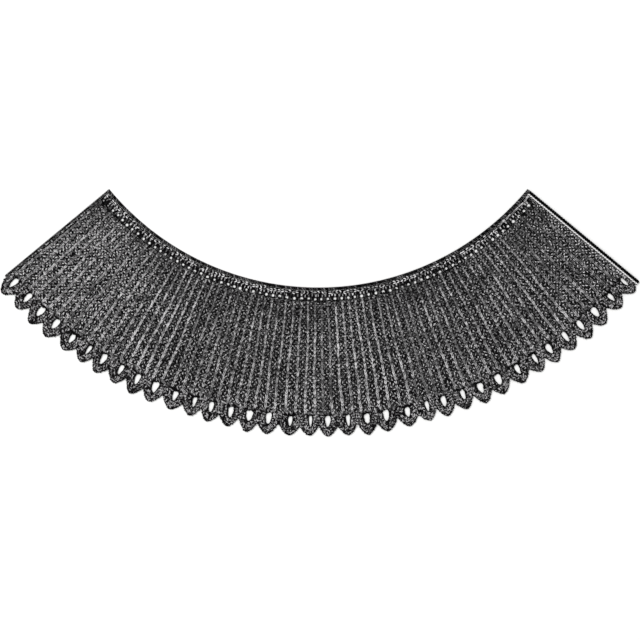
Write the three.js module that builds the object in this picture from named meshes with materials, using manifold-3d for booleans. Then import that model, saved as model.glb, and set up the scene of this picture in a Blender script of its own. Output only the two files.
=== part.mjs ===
// A knitted wool collar laid flat: a fan of accordion ribs with an eyelet neckband, a corded neck
// edge, corded fronts and a hem of crocheted shells. Millimetres, +Z up, lying on z = 0 with the
// neck opening towards +Y. All its arcs share one centre, in the neck opening.
import * as THREE from "three";
import { mergeVertices } from "three/addons/utils/BufferGeometryUtils.js";
import Module from "manifold-3d";

const wasm = await Module();
wasm.setup();
const { degToRad, lerp } = THREE.MathUtils;

// Driving dimensions of the fan
const NECK_RADIUS = 225.2;
const FRONT_ANGLE = degToRad(50.4);
const HEM_SEAM_RADIUS = 330;
const SEAM_GAP = 0.3;
const WALL = 2;

// Neck edge cord and neckband
const NECK_CORD = { width: 2.5, height: 2.8 };
const NECKBAND_WIDTH = 9;
const CHAIN_ROW = { start: 0.5, width: 2.3, rise: 0.8 };
const EYELET = { radius: 1, fromBandEdge: 6.9, sides: 8 };

// Ribs: a sharp crest between two feet, with a sunken trough before the next rib
const RIB_CREST = 3.4;
const RIB_TROUGH = 1.6;
const RIB_HALF_WIDTH = degToRad(0.3);

// Front edges: one narrow cord on the left, a chain row and a heavier cord on the right
const LEFT_CORD = { width: 1.7, height: 2.4 };
const RIGHT_CHAIN = { width: 1.5, height: 2.4 };
const RIGHT_CORD = { width: 2.1, height: 2.8 };
const LEFT_CORD_END_RADIUS = 337.5;
const RIGHT_CORD_END_RADIUS = 345.5;

// The hem's shells differ a little, in a set of six that repeats. Pitch is the angle in degrees to
// the next shell; the radii are those of the shell's tip and of the notch that follows it.
const SHELL_SET = [
  { pitch: 2.88, tipRadius: 349.0, notchRadius: 340.3, holeLength: 8.9, holeWidth: 3.6 },
  { pitch: 2.67, tipRadius: 348.6, notchRadius: 339.4, holeLength: 8.9, holeWidth: 3.4 },
  { pitch: 2.76, tipRadius: 350.0, notchRadius: 341.2, holeLength: 8.7, holeWidth: 4.7 },
  { pitch: 3.08, tipRadius: 349.4, notchRadius: 339.4, holeLength: 9.0, holeWidth: 4.9 },
  { pitch: 2.87, tipRadius: 348.7, notchRadius: 340.8, holeLength: 7.8, holeWidth: 3.8 },
  { pitch: 2.45, tipRadius: 348.2, notchRadius: 339.2, holeLength: 8.3, holeWidth: 2.3 },
];
const SHELL_COUNT = 36;
const FIRST_SHELL_ANGLE = -48.85;
const SHELL_ROUNDNESS = 1.6;
const HOLE_END_RADIUS = 340.2;

// Facets
const STEPS_ROUND_A_CORD = 72;
const STEPS_ALONG_A_SHELL = 8;
const STEPS_DOWN_A_HOLE = 5;

// The length of cloth that the front edges take up on each side of the fan
const LEFT_INSET = LEFT_CORD.width + SEAM_GAP;
const RIGHT_INSET = RIGHT_CORD.width + RIGHT_CHAIN.width + 2 * SEAM_GAP;

function onFan(radius, angle, height = 0) {
  return new THREE.Vector3(radius * Math.sin(angle), -radius * Math.cos(angle), height);
}

// The angle at a radius of a place given as a fraction of the way from the left front to the right
function fanAngle(fraction, radius) {
  const left = -FRONT_ANGLE + LEFT_INSET / radius;
  const right = FRONT_ANGLE - RIGHT_INSET / radius;
  return lerp(left, right, fraction);
}

// The fraction across the fan of an angle that is measured at the hem seam
function fanFraction(angle) {
  const left = fanAngle(0, HEM_SEAM_RADIUS);
  return (angle - left) / (fanAngle(1, HEM_SEAM_RADIUS) - left);
}

// One closed solid under rows of points: its upper side runs through them, its underside is flat
function flatBacked(rows) {
  const columns = rows[0].length;
  const lastRow = rows.length - 1;
  const underside = [rows[0], rows[lastRow]].map((row) => row.map((p) => new THREE.Vector3(p.x, p.y, 0)));
  const top = (row, column) => row * columns + column;
  const base = (side, column) => (rows.length + side) * columns + column;
  const faces = [];
  const quad = (a, b, c, d) => faces.push(a, b, c, a, c, d);
  for (let c = 0; c < columns - 1; c++) {
    for (let r = 0; r < lastRow; r++) {
      quad(top(r, c), top(r + 1, c), top(r + 1, c + 1), top(r, c + 1));
    }
    quad(base(0, c), base(0, c + 1), base(1, c + 1), base(1, c));
    quad(top(0, c), top(0, c + 1), base(0, c + 1), base(0, c));
    quad(top(lastRow, c + 1), top(lastRow, c), base(1, c), base(1, c + 1));
  }
  const end = columns - 1;
  faces.push(base(0, 0), base(1, 0), top(lastRow, 0));
  faces.push(base(0, end), top(lastRow, end), base(1, end));
  for (let r = lastRow; r > 0; r--) {
    faces.push(base(0, 0), top(r, 0), top(r - 1, 0));
    faces.push(base(0, end), top(r - 1, end), top(r, end));
  }
  const geometry = new THREE.BufferGeometry().setFromPoints([...rows, ...underside].flat());
  return geometry.setIndex(faces);
}

// A cord's rounded section on a flat base, as distances across it and heights
function cordSection({ width, height }) {
  return [
    { across: 0, height: 0.3 * height },
    { across: 0.16 * width, height: 0.78 * height },
    { across: 0.5 * width, height },
    { across: 0.84 * width, height: 0.78 * height },
    { across: width, height: 0.3 * height },
  ];
}

function solidOf(geometry) {
  geometry.deleteAttribute("normal");
  geometry.deleteAttribute("uv");
  const merged = mergeVertices(geometry);
  const vertProperties = merged.attributes.position.array;
  return new wasm.Manifold(new wasm.Mesh({ numProp: 3, vertProperties, triVerts: merged.index.array }));
}

function geometryOf(solid) {
  const mesh = solid.getMesh();
  const position = new THREE.BufferAttribute(mesh.vertProperties, 3);
  const geometry = new THREE.BufferGeometry().setAttribute("position", position);
  return geometry.setIndex(new THREE.BufferAttribute(mesh.triVerts, 1));
}

// Every shell of the hem, with its angle and how far it reaches to the notch on each side
function listShells() {
  const shells = [];
  let angle = FIRST_SHELL_ANGLE;
  for (let i = 0; i < SHELL_COUNT; i++) {
    const kind = SHELL_SET[i % SHELL_SET.length];
    const before = SHELL_SET[(i + SHELL_SET.length - 1) % SHELL_SET.length];
    shells.push({
      ...kind,
      angle: degToRad(angle),
      reachLeft: degToRad(before.pitch / 2),
      reachRight: degToRad(kind.pitch / 2),
      leftNotchRadius: before.notchRadius,
    });
    angle += kind.pitch;
  }
  return shells;
}
const SHELLS = listShells();

// Two ribs run into each shell, at its quarter points; those that the right front covers are left out
function ribAngles() {
  const quarterPoints = SHELLS.flatMap((s) => [s.angle - s.reachLeft / 2, s.angle + s.reachRight / 2]);
  return quarterPoints.filter((angle) => fanFraction(angle + RIB_HALF_WIDTH) < 1);
}
const RIB_ANGLES = ribAngles();

// The neck edge's dark cord, round the whole neck from front to front
function neckEdgeCord() {
  const rows = cordSection(NECK_CORD).map(({ across, height }) => {
    const row = [];
    for (let i = 0; i <= STEPS_ROUND_A_CORD; i++) {
      row.push(onFan(NECK_RADIUS + across, lerp(-FRONT_ANGLE, FRONT_ANGLE, i / STEPS_ROUND_A_CORD), height));
    }
    return row;
  });
  return flatBacked(rows);
}

// The neckband: a raised row of chain stitches, then a flat strip with one eyelet above each rib
function neckband() {
  const start = NECK_RADIUS + NECK_CORD.width + SEAM_GAP;
  const chainEnd = CHAIN_ROW.start + CHAIN_ROW.width;
  const section = [
    { across: 0, height: WALL },
    { across: CHAIN_ROW.start + 0.2 * CHAIN_ROW.width, height: WALL + CHAIN_ROW.rise },
    { across: CHAIN_ROW.start + 0.8 * CHAIN_ROW.width, height: WALL + CHAIN_ROW.rise },
    { across: chainEnd, height: WALL },
    { across: NECKBAND_WIDTH, height: WALL },
  ];
  const rows = section.map(({ across, height }) => {
    const row = [];
    for (let i = 0; i <= STEPS_ROUND_A_CORD; i++) {
      const radius = start + across;
      row.push(onFan(radius, fanAngle(i / STEPS_ROUND_A_CORD, radius), height));
    }
    return row;
  });
  const eyeletRadius = start + EYELET.fromBandEdge;
  const punches = RIB_ANGLES.map((angle) => {
    const punch = new THREE.CylinderGeometry(EYELET.radius, EYELET.radius, 4 * WALL, EYELET.sides);
    const place = onFan(eyeletRadius, fanAngle(fanFraction(angle), eyeletRadius));
    return solidOf(punch.rotateX(Math.PI / 2).translate(place.x, place.y, 0));
  });
  return geometryOf(solidOf(flatBacked(rows)).subtract(wasm.Manifold.union(punches)));
}

// The ribbed body: ribs rise soon after the neckband and sink again before the hem seam
function ribbedBody() {
  const neckSide = NECK_RADIUS + NECK_CORD.width + NECKBAND_WIDTH + 2 * SEAM_GAP;
  const hemSide = HEM_SEAM_RADIUS - SEAM_GAP;
  const lengthwise = [
    { radius: neckSide, swell: 0.3 },
    { radius: neckSide + 4, swell: 0.8 },
    { radius: neckSide + 12, swell: 1 },
    { radius: (neckSide + hemSide) / 2, swell: 1 },
    { radius: hemSide - 12, swell: 1 },
    { radius: hemSide - 4, swell: 0.8 },
    { radius: hemSide, swell: 0.3 },
  ];
  const columns = [{ fraction: 0, level: WALL }];
  RIB_ANGLES.forEach((angle, i) => {
    columns.push({ fraction: fanFraction(angle - RIB_HALF_WIDTH), level: WALL });
    columns.push({ fraction: fanFraction(angle), level: RIB_CREST });
    columns.push({ fraction: fanFraction(angle + RIB_HALF_WIDTH), level: WALL });
    if (i < RIB_ANGLES.length - 1) {
      columns.push({ fraction: fanFraction((angle + RIB_ANGLES[i + 1]) / 2), level: RIB_TROUGH });
    }
  });
  columns.push({ fraction: 1, level: WALL });
  const rows = lengthwise.map(({ radius, swell }) =>
    columns.map(({ fraction, level }) => onFan(radius, fanAngle(fraction, radius), lerp(WALL, level, swell))),
  );
  return flatBacked(rows);
}

// The radius of a shell's outline: a rounded point between two notches
function shellRadius(shell, angle) {
  const offset = angle - shell.angle;
  const reach = offset < 0 ? shell.reachLeft : shell.reachRight;
  const notchRadius = offset < 0 ? shell.leftNotchRadius : shell.notchRadius;
  return lerp(shell.tipRadius, notchRadius, Math.min(1, Math.abs(offset) / reach) ** SHELL_ROUNDNESS);
}

// A shell's hole: a drop that is broad towards the body and narrows towards the tip
function shellHole(shell) {
  const start = HOLE_END_RADIUS - shell.holeLength;
  const side = (sign) => {
    const points = [];
    for (let i = 1; i < STEPS_DOWN_A_HOLE; i++) {
      const down = i / STEPS_DOWN_A_HOLE;
      const radius = start + down * shell.holeLength;
      const halfWidth = (shell.holeWidth / 2) * Math.sin(Math.PI * down ** 0.6) ** 0.5;
      points.push(onFan(radius, shell.angle + (sign * halfWidth) / radius));
    }
    return points;
  };
  const drop = [
    onFan(start, shell.angle),
    ...side(1),
    onFan(HOLE_END_RADIUS, shell.angle),
    ...side(-1).reverse(),
  ];
  return new THREE.Path(drop.map((p) => new THREE.Vector2(p.x, p.y)));
}

// The hem edging: one strip of shells, cut through by their holes
function scallopedEdging() {
  const leftEnd = fanAngle(0, LEFT_CORD_END_RADIUS);
  const rightEnd = fanAngle(1, RIGHT_CORD_END_RADIUS);
  const hem = SHELLS.flatMap((shell, i) => {
    const points = [];
    const lastStep = i === SHELL_COUNT - 1 ? STEPS_ALONG_A_SHELL : STEPS_ALONG_A_SHELL - 1;
    for (let step = 0; step <= lastStep; step++) {
      const across = (2 * step) / STEPS_ALONG_A_SHELL - 1;
      const reach = across < 0 ? shell.reachLeft : shell.reachRight;
      points.push(shell.angle + across * reach);
    }
    return points.map((angle) => ({ angle, radius: shellRadius(shell, angle) }));
  });
  const first = { angle: leftEnd, radius: shellRadius(SHELLS[0], leftEnd) };
  const last = { angle: rightEnd, radius: shellRadius(SHELLS[SHELL_COUNT - 1], rightEnd) };
  const between = hem.filter(({ angle }) => angle > leftEnd && angle < rightEnd);
  const outline = [first, ...between, last].map(({ angle, radius }) => onFan(radius, angle));
  for (let i = 2 * SHELL_COUNT; i >= 0; i--) {
    outline.push(onFan(HEM_SEAM_RADIUS, fanAngle(i / (2 * SHELL_COUNT), HEM_SEAM_RADIUS)));
  }
  const strip = new THREE.Shape(outline.map((p) => new THREE.Vector2(p.x, p.y)));
  strip.holes = SHELLS.map(shellHole);
  return new THREE.ExtrudeGeometry(strip, { depth: WALL, bevelEnabled: false, curveSegments: 1 });
}

// A straight cord down one front. Side is -1 on the left, 1 on the right; inset is the distance
// from the front's outer line to the cord's nearer side.
function frontCord({ side, inset, size, endRadius }) {
  const startRadius = NECK_RADIUS + NECK_CORD.width + SEAM_GAP;
  const along = onFan(1, side * FRONT_ANGLE);
  const inwards = new THREE.Vector3(-side * Math.cos(FRONT_ANGLE), -Math.sin(FRONT_ANGLE), 0);
  const lines = cordSection(size).map(({ across, height }) =>
    [startRadius, endRadius].map((radius) => {
      const point = along.clone().multiplyScalar(radius).addScaledVector(inwards, inset + across);
      return point.setZ(height);
    }),
  );
  const [starts, ends] = [0, 1].map((end) => lines.map((line) => line[end]));
  return flatBacked(side < 0 ? [starts, ends] : [starts.reverse(), ends.reverse()]);
}

// Colours of the dyed wool: charcoal cloth, near-black cords and paler chain stitches
const WOOL_ROUGHNESS = 0.95;
function piece(name, color, geometry) {
  const material = new THREE.MeshStandardMaterial({ color, roughness: WOOL_ROUGHNESS, metalness: 0 });
  geometry.computeVertexNormals();
  const mesh = new THREE.Mesh(geometry, material);
  mesh.name = name;
  return mesh;
}

const leftCord = { side: -1, inset: 0, size: LEFT_CORD, endRadius: LEFT_CORD_END_RADIUS };
const rightCord = { side: 1, inset: 0, size: RIGHT_CORD, endRadius: RIGHT_CORD_END_RADIUS };
const rightChain = {
  side: 1,
  inset: RIGHT_CORD.width + SEAM_GAP,
  size: RIGHT_CHAIN,
  endRadius: RIGHT_CORD_END_RADIUS,
};

const collar = new THREE.Group();
collar.add(
  piece("neck_edge_cord", 0x1c1b1d, neckEdgeCord()),
  piece("neckband", 0x3a383b, neckband()),
  piece("ribbed_body", 0x353337, ribbedBody()),
  piece("scalloped_edging", 0x2b2a2d, scallopedEdging()),
  piece("left_front_edge", 0x201f21, frontCord(leftCord)),
  piece("right_front_cord", 0x141315, frontCord(rightCord)),
  piece("right_front_chain", 0x9a979b, frontCord(rightChain)),
);

// The origin lies under the middle of the collar's box, on the surface it rests on
const middle = new THREE.Box3().setFromObject(collar).getCenter(new THREE.Vector3());
collar.position.set(-middle.x, -middle.y, 0);

export default collar;
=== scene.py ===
# A knitted wool collar, laid flat: a fan of accordion ribs with an eyelet neckband, corded edges and
# a scalloped hem. Everything is in metres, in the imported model's frame, +Z up out of the cloth.
import bpy
import numpy as np
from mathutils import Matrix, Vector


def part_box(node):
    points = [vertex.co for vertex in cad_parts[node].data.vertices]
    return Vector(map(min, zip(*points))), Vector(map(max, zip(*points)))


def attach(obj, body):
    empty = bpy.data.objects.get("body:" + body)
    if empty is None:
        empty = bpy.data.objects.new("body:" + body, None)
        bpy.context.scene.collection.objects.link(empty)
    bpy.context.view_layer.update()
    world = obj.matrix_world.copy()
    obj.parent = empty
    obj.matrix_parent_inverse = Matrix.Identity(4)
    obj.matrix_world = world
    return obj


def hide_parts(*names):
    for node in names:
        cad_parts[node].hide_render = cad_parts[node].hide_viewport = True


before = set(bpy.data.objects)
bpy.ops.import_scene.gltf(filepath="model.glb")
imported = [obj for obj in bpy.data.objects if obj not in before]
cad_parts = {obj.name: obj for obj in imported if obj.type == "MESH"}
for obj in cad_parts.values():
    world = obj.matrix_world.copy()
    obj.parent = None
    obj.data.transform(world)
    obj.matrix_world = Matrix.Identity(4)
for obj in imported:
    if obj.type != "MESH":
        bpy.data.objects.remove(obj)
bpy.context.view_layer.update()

# Ribbed body, the cloth
# One strip of charcoal wool, knitted in accordion ribs that fan out from the neck to the hem. All
# the collar's arcs share one centre, in the neck opening. Two ribs run into each shell of the hem,
# and the shells' pitches repeat in a set of six.
NECK_RADIUS = 0.2252
FRONT_ANGLE = np.radians(50.4)
HEM_SEAM_RADIUS = 0.330
SEAM_GAP = 0.0003
NECK_CORD_WIDTH = 0.0025
NECKBAND_WIDTH = 0.0090
LEFT_CORD_WIDTH = 0.0017
RIGHT_CORD_WIDTH = 0.0021
RIGHT_CHAIN_WIDTH = 0.0015
SHELL_PITCHES = np.radians([2.88, 2.67, 2.76, 3.08, 2.87, 2.45])
SHELL_COUNT = 36
FIRST_SHELL_ANGLE = np.radians(-48.85)
RIB_HALF_WIDTH = np.radians(0.3)
BODY_START = NECK_RADIUS + NECK_CORD_WIDTH + NECKBAND_WIDTH + 2 * SEAM_GAP
BODY_END = HEM_SEAM_RADIUS - SEAM_GAP
CREST_HEIGHT = 0.0026
TROUGH_HEIGHT = 0.0009
SEAM_HEIGHT = 0.0011
# A crest's spread in widths of a rib, and the most of the crest height that one may have
CREST_SPREAD = 0.2
PROUDEST_CREST = 1.05
SWELL_LENGTH = 0.009
CLOTH_COLUMNS_PER_RIB = 8
CLOTH_ROWS = 26
# Painted shade of the cloth at a crest's top; it is darker down in the troughs
CLOTH_PAINTED_SHADE_AT_CREST = 0.6

neck_low, neck_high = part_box("neck_edge_cord")
ARC_CENTRE_X = (neck_low[0] + neck_high[0]) / 2
ARC_CENTRE_Y = neck_high[1] + NECK_RADIUS * np.cos(FRONT_ANGLE)


def on_fan(radius, angle, height=0.0):
    """Points at a radius from the arcs' centre, an angle from straight down the fan, and a height."""
    radius, angle, height = np.broadcast_arrays(radius, angle, height)
    x = ARC_CENTRE_X + radius * np.sin(angle)
    y = ARC_CENTRE_Y - radius * np.cos(angle)
    return np.stack([x, y, height], axis=-1)


def fan_directions(angle):
    """Unit vectors at an angle on the fan: outwards to the hem, and across towards the right front."""
    flat = np.zeros_like(angle)
    outwards = np.stack([np.sin(angle), -np.cos(angle), flat], axis=-1)
    across = np.stack([np.cos(angle), np.sin(angle), flat], axis=-1)
    return outwards, across


def fan_angle(fraction, radius):
    """The angle of a place given as a fraction of the way between the front edges' inner sides."""
    left = -FRONT_ANGLE + (LEFT_CORD_WIDTH + SEAM_GAP) / radius
    right = FRONT_ANGLE - (RIGHT_CORD_WIDTH + RIGHT_CHAIN_WIDTH + 2 * SEAM_GAP) / radius
    return left + fraction * (right - left)


def fan_fraction(angle):
    """The fraction across the fan of an angle that is measured at the hem seam."""
    left = fan_angle(0, HEM_SEAM_RADIUS)
    return (angle - left) / (fan_angle(1, HEM_SEAM_RADIUS) - left)


def ease(x):
    """A smooth step from 0 to 1: 3x^2 - 2x^3, held flat outside."""
    x = np.clip(x, 0, 1)
    return x * x * (3 - 2 * x)


pitches = np.tile(SHELL_PITCHES, SHELL_COUNT // len(SHELL_PITCHES))
shell_reach_right = pitches / 2
shell_reach_left = np.roll(pitches, 1) / 2
shell_angles = FIRST_SHELL_ANGLE + np.concatenate([[0], np.cumsum(pitches)[:-1]])
quarter_points = [shell_angles - shell_reach_left / 2, shell_angles + shell_reach_right / 2]
rib_angles = np.sort(np.concatenate(quarter_points))
rib_angles = rib_angles[fan_fraction(rib_angles + RIB_HALF_WIDTH) < 1]
RIB_COUNT = len(rib_angles)

# Ribs are numbered from 0 at the left, and a place between two crests has a number in between.
# One more rib is counted past each end.
crests = fan_fraction(rib_angles)
before, after = 2 * crests[0] - crests[1], 2 * crests[-1] - crests[-2]
rib_fractions = np.concatenate([[before], crests, [after]])
rib_numbers = np.arange(-1, RIB_COUNT + 1)
first_rib_place, last_rib_place = np.interp([0, 1], rib_fractions, rib_numbers)

# How proud the crests stand, from each angle in degrees onwards; the prouder ones also get painted light
RIB_PROMINENCE = np.array([
    (-60, 0.0), (-47.6, 0.3), (-41, 0.0), (-36, 0.5), (-30.8, 1.15), (-22, 0.5), (-13.8, 0.75),
    (-7, 0.9), (0.4, 0.3), (2.6, 1.15), (10.4, 0.75), (15.4, 0.35), (19.2, 0.85), (27.5, 0.6),
    (35.8, 0.85), (40.5, 0.1), (44, -0.2),
])
PROMINENCE_RANGE = (0.85, 1.15)
# How far a crest sways to either side, in widths of a rib, and the length of one sway
RIB_SWAY = 0.045
RIB_SWAY_LENGTH = 0.07
rib_random = np.random.default_rng(7)
from_angles, prominences = RIB_PROMINENCE.T
rib_lifts = prominences[np.searchsorted(from_angles, np.degrees(rib_angles)) - 1]
rib_lifts = rib_lifts * rib_random.uniform(*PROMINENCE_RANGE, RIB_COUNT)
rib_sway_phase = rib_random.uniform(0, 2 * np.pi, RIB_COUNT)


def nearest_rib(rib):
    """The number of the crest nearest to a place."""
    return np.clip(np.round(rib), 0, RIB_COUNT - 1).astype(int)


def fan_place(rib, radius):
    """The angle of a place among the ribs, whose crests sway from side to side: a sine down each
    crest, which dies away halfway to the next one."""
    nearest = nearest_rib(rib)
    sway = RIB_SWAY * np.sin(2 * np.pi * radius / RIB_SWAY_LENGTH + rib_sway_phase[nearest])
    closeness = np.clip(1 - 2 * np.abs(rib - nearest), 0, 1)
    fraction = np.interp(rib + sway * closeness, rib_numbers, rib_fractions)
    return fan_angle(fraction, radius)


def cloth_height(rib, radius):
    """Upper side of the cloth: a bell exp(-(d/spread)^2) in the distance d from the nearest crest,
    (1 + lift) / 2 of the crest's height over the trough. It eases to the seam's height at both ends."""
    nearest = nearest_rib(rib)
    bell = np.exp(-(((rib - nearest) / CREST_SPREAD) ** 2))
    proudness = np.clip((1 + rib_lifts[nearest]) / 2, 0, PROUDEST_CREST)
    ribbed = TROUGH_HEIGHT + (CREST_HEIGHT - TROUGH_HEIGHT) * bell * proudness
    swell = ease((radius - BODY_START) / SWELL_LENGTH) * ease((BODY_END - radius) / SWELL_LENGTH)
    return SEAM_HEIGHT + swell * (ribbed - SEAM_HEIGHT)


def closed_cloth(upper):
    """A closed skin from a grid of upper points (rows, columns, 3): the same grid again below, level
    at z = 0, joined along the rows' and the columns' ends. Gives points and quads."""
    rows, columns = upper.shape[:2]
    lower = upper[::-1].copy()
    lower[..., 2] = 0
    points = np.concatenate([upper, lower]).reshape(-1, 3)
    number = np.arange(2 * rows * columns).reshape(2 * rows, columns)
    ring = np.concatenate([number, number[:1]])
    skin = [ring[:-1, :-1], ring[1:, :-1], ring[1:, 1:], ring[:-1, 1:]]
    faces = [np.stack([c.ravel() for c in skin], axis=1)]
    for column, turn in ((0, 1), (columns - 1, -1)):
        up = number[:rows, column]
        down = number[rows:, column][::-1]
        end = np.stack([up[:-1], down[:-1], down[1:], up[1:]], axis=1)
        faces.append(end[:, ::turn])
    return points, np.concatenate(faces)


def add_piece(name, points, faces, material, shade, corner_uv=None):
    """A piece from arrays: points (n, 3), faces (m, 3 or 4), the shade of each point from 0, dark,
    to 1, light, and, for yarn, each face corner's place round and along it as a UV map."""
    mesh = bpy.data.meshes.new(name)
    points = np.asarray(points, dtype=np.float32).reshape(-1, 3)
    mesh.vertices.add(len(points))
    mesh.vertices.foreach_set("co", points.ravel())
    mesh.loops.add(faces.size)
    mesh.loops.foreach_set("vertex_index", faces.astype(np.int32).ravel())
    mesh.polygons.add(len(faces))
    mesh.polygons.foreach_set("loop_start", np.arange(0, faces.size, faces.shape[1], dtype=np.int32))
    mesh.update(calc_edges=True)
    mesh.validate()
    mesh.shade_smooth()
    shades = mesh.attributes.new("shade", "FLOAT", "POINT")
    shades.data.foreach_set("value", np.broadcast_to(shade, len(points)).astype(np.float32))
    if corner_uv is not None:
        uv_map = mesh.uv_layers.new(name="yarn")
        uv_map.data.foreach_set("uv", corner_uv.astype(np.float32).ravel())
    piece = bpy.data.objects.new(name, mesh)
    bpy.context.scene.collection.objects.link(piece)
    mesh.materials.append(material)
    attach(piece, "root")
    return piece


def set_sockets(node, values):
    """Sets a node's input sockets from a dict of their names, or numbers, and values."""
    for socket, value in values.items():
        node.inputs[socket].default_value = value


# Sockets of a colour Mix node: its two colours, and the mixed one
MIX_DARK, MIX_LIGHT, MIX_RESULT = 6, 7, 2


def wool(name, dark, light, twisted=True):
    """Dyed wool, matt with a faint sheen. Its colour runs from dark to light with the square of the
    piece's shade, broken up by fibres, by spots the size of a stitch and by clouds a centimetre wide.
    Yarn also has the ridges of its twist, from its UV map."""
    material = bpy.data.materials.new(name)
    material.use_nodes = True
    nodes = material.node_tree.nodes
    link = material.node_tree.links.new
    shader = nodes["Principled BSDF"]
    set_sockets(shader, {"Roughness": 0.95, "Specular IOR Level": 0.02})
    set_sockets(shader, {"Sheen Weight": 0.004, "Sheen Roughness": 0.6})
    coordinates = nodes.new("ShaderNodeTexCoord")

    def noise(scale, low, high):
        """Noise of a scale, with its middle half spread over the range from low to high."""
        texture = nodes.new("ShaderNodeTexNoise")
        set_sockets(texture, {"Scale": scale, "Detail": 2})
        link(coordinates.outputs["Object"], texture.inputs["Vector"])
        spread = nodes.new("ShaderNodeMapRange")
        set_sockets(spread, {"From Min": 0.25, "From Max": 0.75, "To Min": low, "To Max": high})
        link(texture.outputs["Fac"], spread.inputs["Value"])
        return spread.outputs["Result"]

    def times(first, second, clamp=False):
        """The product of two sockets, held between 0 and 1 if clamp is set."""
        product = nodes.new("ShaderNodeMath")
        product.operation = "MULTIPLY"
        product.use_clamp = clamp
        link(first, product.inputs[0])
        link(second, product.inputs[1])
        return product.outputs["Value"]

    shade = nodes.new("ShaderNodeAttribute")
    shade.attribute_name = "shade"
    fibres = noise(2600, 0.7, 1.3)
    spots = noise(500, 0.8, 1.2)
    clouds = noise(90, 0.92, 1.08)
    flecked = times(times(shade.outputs["Fac"], fibres), times(spots, clouds))
    colour = nodes.new("ShaderNodeMix")
    colour.data_type = "RGBA"
    set_sockets(colour, {MIX_DARK: (*dark, 1), MIX_LIGHT: (*light, 1)})
    link(times(flecked, flecked, clamp=True), colour.inputs["Factor"])
    link(colour.outputs[MIX_RESULT], shader.inputs["Base Color"])
    bump = nodes.new("ShaderNodeBump")
    set_sockets(bump, {"Strength": 0.5, "Distance": 0.00015})
    link(fibres, bump.inputs["Height"])
    normal = bump.outputs["Normal"]
    if twisted:
        twist = nodes.new("ShaderNodeTexWave")
        twist.bands_direction = "DIAGONAL"
        set_sockets(twist, {"Scale": 1.2, "Distortion": 1.5})
        link(coordinates.outputs["UV"], twist.inputs["Vector"])
        twist_bump = nodes.new("ShaderNodeBump")
        set_sockets(twist_bump, {"Strength": 0.6, "Distance": 0.0001})
        link(twist.outputs["Fac"], twist_bump.inputs["Height"])
        link(normal, twist_bump.inputs["Normal"])
        normal = twist_bump.outputs["Normal"]
    link(normal, shader.inputs["Normal"])
    return material


# The cloths under the stitches are painted near black, far darker than their yarn: painted shadow in the
# gaps between stitches
GAP_SHADOW_DARK = (0.0015, 0.0014, 0.0016)
GAP_SHADOW_LIGHT = (0.030, 0.029, 0.031)
cloth_wool = wool("gap_shadow_cloth", dark=GAP_SHADOW_DARK, light=GAP_SHADOW_LIGHT, twisted=False)

cloth_ribs = np.linspace(first_rib_place, last_rib_place, RIB_COUNT * CLOTH_COLUMNS_PER_RIB)
cloth_radii = np.linspace(BODY_START, BODY_END, CLOTH_ROWS)[:, None]
cloth_top = on_fan(cloth_radii, fan_place(cloth_ribs, cloth_radii), cloth_height(cloth_ribs, cloth_radii))
body_points, body_faces = closed_cloth(cloth_top)
# Painted shade: the cloth is lightest on the crests and darker down in the troughs
body_shade = np.clip(body_points[:, 2] / CREST_HEIGHT, 0, 1) * CLOTH_PAINTED_SHADE_AT_CREST
ribbed_cloth = add_piece("ribbed_cloth", body_points, body_faces, cloth_wool, body_shade)
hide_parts("ribbed_body")

# Ribbed body, the stitches
# Each crest is one wale of plain stitches, two slanting legs of yarn to a stitch. The three wales
# sunk between two crests are moss stitch: purl stitches, whose short loops lie aslant and stand up,
# take turns with plain ones both down a wale and across the wales.
COURSES = 49
WALES_PER_RIB = 4
# Distances from the cloth's ends in wales: of the outermost wale, and of the nearest whole one
END_WALE_INSET = 0.25
WHOLE_WALE_INSET = 0.8
# How far a stitch is off its even place: down its wale in metres, and across it in widths of a rib
STITCH_UNEVEN_DOWN = 0.0003
STITCH_UNEVEN_ACROSS = 0.03
# Yarn is made of spindles. Rings are at these places along one, from 0 to 1.
THICK_YARN = {"sides": 5, "rings": np.array([0.12, 0.5, 0.88])}
THIN_YARN = {"sides": 4, "rings": np.array([0.25, 0.75])}
YARN_TAPER = 0.6
# Painted shade on every spindle, at its tips and round to its underside
TIP_PAINTED_SHADE = 0.45
UNDER_PAINTED_SHADE = 0.1
# Below, a rise is a stitch's height over the cloth. Shades and stretches that vary have a range, and
# angles that vary have a mean and a spread in degrees.
CREST_LEG = {"slant": np.radians(17), "length": 0.0027, "thickness": 0.001}
# A crest stitch at the neck and at the hem: half the gap between its legs, and a leg's width
CREST_HALF_GAPS = (0.00032, 0.00058)
CREST_WIDTHS = (0.0008, 0.0011)
CREST_RISE = 0.0002
# A crest's shade, the painted light that its prominence adds to it, and how much its stitches and their
# legs vary
CREST_SHADE = 0.64
CREST_PAINTED_LIGHT_BY_LIFT = 0.37
CREST_STITCH_SHADES = (0.6, 1.25)
CREST_LEG_SHADES = (0.85, 1.15)
# Crests fade and brighten along their length, each out of step with its sway
CREST_FADE = 0.12
CREST_FADE_LENGTH = 0.043
CREST_FADE_STEP = 1.7
PURL_LOOP = {"width": 0.0012, "thickness": 0.0012, "bow": 0.0003, "dip": 0.0004}
# A purl loop is as long as its wale is wide, up to a longest, times a stretch
PURL_LONGEST = 0.0018
PURL_STRETCHES = (1.0, 1.5)
PURL_TILT = (50, 25)
PURL_RISE = 0.00035
PURL_SHADE = 0.97
PURL_SHADES = (0.5, 1.25)
PLAIN_LEG = {"slant": np.radians(20), "length": 0.0026, "width": 0.0008, "thickness": 0.0008}
# Half the gap between a plain stitch's legs, in widths of its wale
PLAIN_HALF_GAP = 0.25
PLAIN_RISE = 0.0001
# Plain stitches lie sunk between the purl loops, and their lower shade is painted shade
PLAIN_SHADE = 0.45
PLAIN_SHADES = (0.2, 1.5)
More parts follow.
